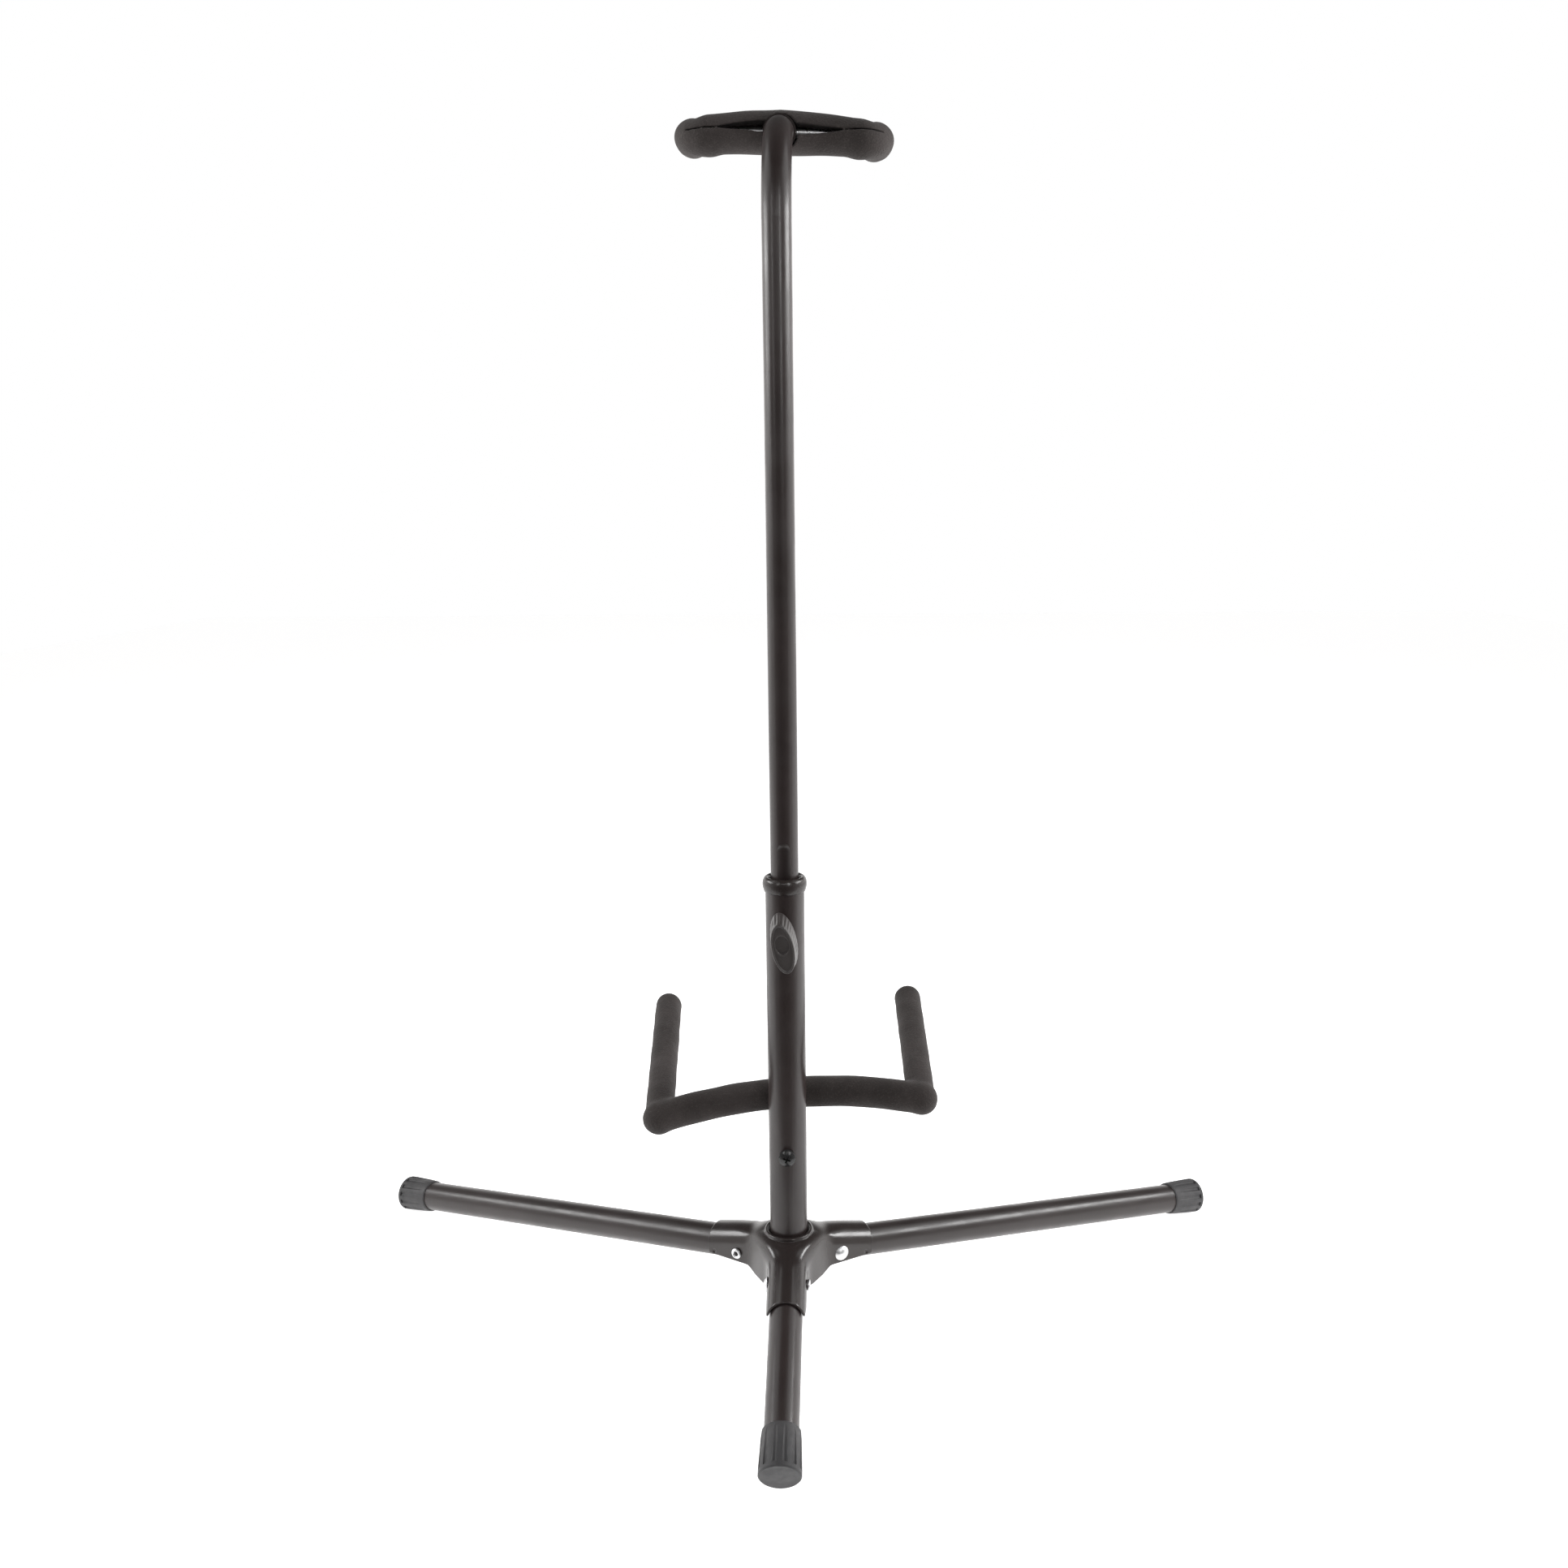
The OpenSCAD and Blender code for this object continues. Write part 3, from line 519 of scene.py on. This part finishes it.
# ---------------------------------------------------------------- locking knob
def knob_mesh():
    """Ribbed oval knob: rings from the back, up the ribbed side, over the rim and into the oval recess."""
    around = 336
    ribs = 28
    t = np.linspace(0, 2 * np.pi, around, endpoint=False)
    back, face = (7.3, 17.0), (6.35, 14.5)
    # arc length along the back outline spaces the ribs evenly
    step = np.hypot(back[0] * np.sin(t), back[1] * np.cos(t))
    arc = np.concatenate([[0], np.cumsum(step)[:-1]]) / step.sum() * ribs * 2 * np.pi
    groove = 0.5 - 0.5 * np.cos(arc)
    deep = 0.16 + 0.34 * np.clip((np.sin(t) + 0.35) / 1.35, 0, 1) + 0.10 * np.clip(-np.sin(t), 0, 1)
    rings = []

    def ring(half_w, half_l, z, rib=0.0, shift=0.0):
        inset = rib * deep * groove
        rings.append(np.stack([(half_w - inset) * np.cos(t), (half_l - inset) * np.sin(t) + shift,
                               np.full(around, float(z))], axis=1))

    ring(3.2, 3.2, 0.0)
    ring(5.6, 14.6, 0.0)
    ring(back[0] - 0.5, back[1] - 0.5, 0.0)
    ring(back[0] - 0.12, back[1] - 0.12, 0.25)
    for k in range(15):
        s = k / 14
        z = 0.8 + s * (KNOB_DEPTH - 3.0)
        fade = math.sin(math.pi * min(max(s, 0.04), 0.96)) ** 0.35
        ring(back[0] + s * (face[0] - back[0]), back[1] + s * (face[1] - back[1]), z, fade)
    ring(face[0] - 0.02, face[1] - 0.05, KNOB_DEPTH - 1.3)
    ring(face[0] - 0.12, face[1] - 0.16, KNOB_DEPTH - 0.6)
    ring(face[0] - 0.35, face[1] - 0.42, KNOB_DEPTH - 0.12)
    ring(face[0] - 0.65, face[1] - 0.75, KNOB_DEPTH)
    ring(face[0] - 1.05, face[1] - 1.2, KNOB_DEPTH - 0.12)
    ring(face[0] - 1.2, face[1] - 1.4, KNOB_DEPTH - 0.5)
    ring(5.0, 12.4, KNOB_DEPTH - 0.56, shift=0.3)
    ring(4.45, 7.0, KNOB_DEPTH - 0.5, shift=1.8)
    ring(4.15, 5.75, KNOB_DEPTH - 0.5, shift=2.3)
    ring(3.95, 5.5, KNOB_DEPTH - 0.7, shift=2.3)
    ring(3.85, 5.4, KNOB_DEPTH - 1.35, shift=2.3)
    ring(3.6, 5.1, KNOB_DEPTH - 1.4, shift=2.3)
    ring(1.8, 2.6, KNOB_DEPTH - 1.25, shift=2.3)
    verts = np.vstack(rings)
    faces = []
    for k in range(len(rings) - 1):
        a, b = k * around, (k + 1) * around
        for i in range(around):
            n = (i + 1) % around
            faces.append((a + i, a + n, b + n, b + i))
    faces.append(tuple(range(around))[::-1])
    faces.append(tuple(range(len(verts) - around, len(verts))))
    return verts, faces


verts, faces = knob_mesh()
knob = add_mesh("knob_ribbed_oval", verts, faces, AT_KNOB, knob_mat)
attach(knob, "knob")
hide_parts("knob_grip", "knob_cap")

# ---------------------------------------------------------------- floor
FLOOR_HALF = 3.0
FLOOR_FRONT = -0.20
bpy.ops.mesh.primitive_plane_add(size=2 * FLOOR_HALF, location=(0, FLOOR_FRONT + FLOOR_HALF, -0.0003))
floor = bpy.context.object
floor.name = "floor"
floor_mat, nt, sh = new_material("white_floor")
sh.inputs["Base Color"].default_value = (0.92, 0.92, 0.92, 1)
sh.inputs["Roughness"].default_value = 0.9
sh.inputs["Specular IOR Level"].default_value = 0.1
sh.inputs["Emission Color"].default_value = (1, 1, 1, 1)
sh.inputs["Emission Strength"].default_value = 0.82
floor.data.materials.append(floor_mat)


# ---------------------------------------------------------------- studio light
def math_node(nt, kind, a, b=None):
    node = nt.nodes.new("ShaderNodeMath")
    node.operation = kind
    for socket, value in zip(node.inputs, (a, b)):
        if isinstance(value, (int, float)):
            socket.default_value = value
        elif value is not None:
            nt.links.new(value, socket)
    return node.outputs[0]


def studio_world():
    """White sweep behind and beside the stand, dark room on the camera's side and overhead."""
    world = bpy.data.worlds.new("studio")
    scene.world = world
    world.use_nodes = True
    nt = world.node_tree
    room = nt.nodes["Background"]
    sky = nt.nodes.new("ShaderNodeBackground")
    sky.inputs["Color"].default_value = (1, 1, 1, 1)
    axes = nt.nodes.new("ShaderNodeSeparateXYZ")
    nt.links.new(nt.nodes.new("ShaderNodeTexCoord").outputs["Generated"], axes.inputs[0])
    behind = ramp(nt, axes.outputs["Y"], 0.07, 1.7, -0.95, 0.50)
    low = ramp(nt, axes.outputs["Z"], 1.0, 0.06, 0.12, 0.50)
    nt.links.new(math_node(nt, "MULTIPLY", behind, low), room.inputs["Strength"])
    room.inputs["Color"].default_value = (1, 0.985, 0.975, 1)
    seen = nt.nodes.new("ShaderNodeLightPath").outputs["Is Camera Ray"]
    both = nt.nodes.new("ShaderNodeMixShader")
    nt.links.new(seen, both.inputs[0])
    nt.links.new(room.outputs[0], both.inputs[1])
    nt.links.new(sky.outputs[0], both.inputs[2])
    nt.links.new(both.outputs[0], nt.nodes["World Output"].inputs["Surface"])


def soft_box(name, azimuth, elevation, distance, width, height, power):
    """A rectangular light that looks at the middle of the stand."""
    data = bpy.data.lights.new(name, "AREA")
    data.shape = "RECTANGLE"
    data.size, data.size_y, data.energy = width, height, power
    obj = bpy.data.objects.new(name, data)
    scene.collection.objects.link(obj)
    az, el = math.radians(azimuth), math.radians(elevation)
    aim = Vector((0, 0, 0.1))
    away = Vector((math.cos(el) * math.cos(az), math.cos(el) * math.sin(az), math.sin(el)))
    obj.location = aim + away * distance
    obj.rotation_euler = (-away).to_track_quat("-Z", "Y").to_euler()


studio_world()
soft_box("box_left", azimuth=180, elevation=29, distance=1.7, width=0.9, height=0.36, power=10)
soft_box("box_right", azimuth=0, elevation=31, distance=1.7, width=0.9, height=0.28, power=14)
soft_box("side_left", azimuth=180, elevation=52, distance=1.7, width=1.2, height=0.7, power=3.2)
soft_box("side_right", azimuth=0, elevation=52, distance=1.7, width=1.2, height=0.7, power=3.2)
soft_box("strip_left", azimuth=-125, elevation=34, distance=1.8, width=0.14, height=0.8, power=3.0)
soft_box("strip_right", azimuth=-63, elevation=34, distance=1.8, width=0.16, height=0.8, power=5.0)
soft_box("strip_front", azimuth=-90, elevation=33, distance=1.8, width=0.9, height=0.07, power=1.6)

# ---------------------------------------------------------------- camera
CAMERA_AT = Vector((0.03530, -0.76221, 0.49920))
PITCH, PAN, ROLL = (math.radians(a) for a in (11.325, -1.257, -0.427))
FOCAL = 0.884659      # focal length and shift as shares of the picture's width
SHIFT_X = -0.020756
forward = Vector((math.sin(PAN) * math.cos(PITCH), math.cos(PAN) * math.cos(PITCH), -math.sin(PITCH)))
level = forward.cross(Vector((0, 0, 1))).normalized()
upright = level.cross(forward)
right = level * math.cos(ROLL) + upright * math.sin(ROLL)
up = upright * math.cos(ROLL) - level * math.sin(ROLL)
lens = bpy.data.cameras.new("camera")
lens.sensor_width = 36.0
lens.sensor_fit = "HORIZONTAL"
lens.lens = 36.0 * FOCAL
lens.shift_x = SHIFT_X
lens.clip_start = 0.05
lens.clip_end = 60
camera = bpy.data.objects.new("camera", lens)
scene.collection.objects.link(camera)
pose = Matrix((right, up, -forward)).transposed().to_4x4()
pose.translation = CAMERA_AT
camera.matrix_world = pose
scene.camera = camera

scene.view_settings.view_transform = "Standard"
